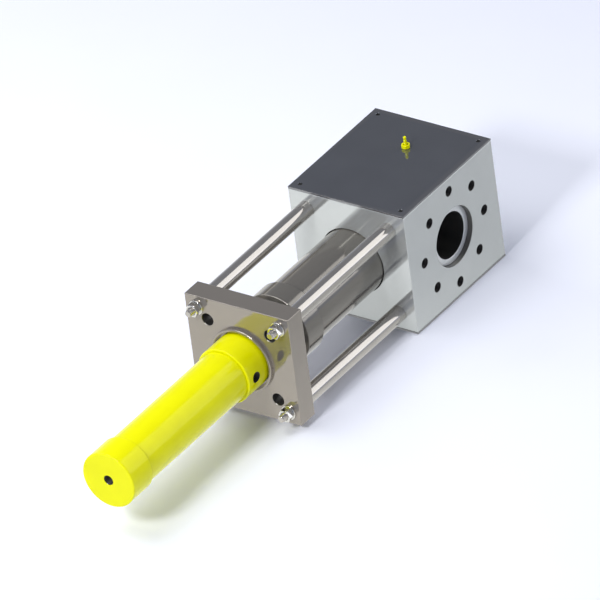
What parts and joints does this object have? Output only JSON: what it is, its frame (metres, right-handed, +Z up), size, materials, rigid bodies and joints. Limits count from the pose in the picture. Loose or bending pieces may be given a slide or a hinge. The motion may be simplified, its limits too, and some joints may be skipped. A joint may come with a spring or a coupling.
{
  "type": "hydraulic ram gate valve",
  "caption": "Hydraulic gate valve: ported steel block with flange bolt holes, a round ram carried on tie rods and an end plate, and a long cylinder that pushes the ram across the port.",
  "frame": {"origin": "centre of the block's underside, straight below the middle of the port", "axes": "+Z up, +X along the port out of the face with the side oil port, +Y from the cylinder towards the block, which is the way the ram closes"},
  "size_m": [0.208, 0.884, 0.2274],
  "materials": {
    "block_steel": "ground and satin, light grey",
    "polished_steel": "polished, warm grey",
    "dark_cover": "glossy dark blue-grey",
    "yellow_paint": "glossy bright yellow",
    "dark_fastener": "black oxide",
    "bronze": "machined bearing bronze",
    "rubber": "moulded black seal rubber",
    "bearing_polymer": "turned bearing polymer"
  },
  "bodies": {
    "valve_body": {"body_block": "block_steel", "top_cover": "dark_cover", "bottom_cover": "dark_cover", "top_cover_screw_1": "dark_fastener", "top_cover_screw_2": "dark_fastener", "top_cover_screw_3": "dark_fastener", "top_cover_screw_4": "dark_fastener", "bottom_cover_screw_1": "dark_fastener", "bottom_cover_screw_2": "dark_fastener", "bottom_cover_screw_3": "dark_fastener", "bottom_cover_screw_4": "dark_fastener", "bleed_fitting": "yellow_paint", "seat_ring_right": "block_steel", "seat_ring_left": "block_steel", "seat_seal_right": "rubber", "seat_seal_left": "rubber", "ram_wiper": "rubber", "ram_seal_front": "rubber", "ram_seal_rear": "rubber", "ram_guide_band": "bearing_polymer", "tie_rod_1": "polished_steel", "tie_rod_2": "polished_steel", "tie_rod_3": "polished_steel", "tie_rod_4": "polished_steel", "tie_rod_washer_1": "polished_steel", "tie_rod_washer_2": "polished_steel", "tie_rod_washer_3": "polished_steel", "tie_rod_washer_4": "polished_steel", "tie_rod_nut_1": "polished_steel", "tie_rod_nut_2": "polished_steel", "tie_rod_nut_3": "polished_steel", "tie_rod_nut_4": "polished_steel", "end_plate": "polished_steel", "cylinder_locknut": "dark_fastener", "cylinder_head": "yellow_paint", "cylinder_tube": "yellow_paint", "cylinder_end_cap": "yellow_paint", "rod_bush": "bronze", "rod_seal": "rubber", "rod_wiper": "rubber", "head_o_ring": "rubber", "cap_o_ring": "rubber"},
    "ram_unit": {"ram": "polished_steel", "ram_collar": "polished_steel", "collar_screw_1": "dark_fastener", "collar_screw_2": "dark_fastener", "collar_screw_3": "dark_fastener", "collar_screw_4": "dark_fastener", "piston_rod": "polished_steel", "piston": "block_steel", "piston_seal": "rubber", "piston_wear_ring": "bearing_polymer", "piston_nut": "dark_fastener"}
  },
  "joints": [
    {"name": "ram_slide", "type": "slide", "parent": "valve_body", "child": "ram_unit", "axis": [0, 1, 0], "range_m": [0, 0.12]}
  ]
}
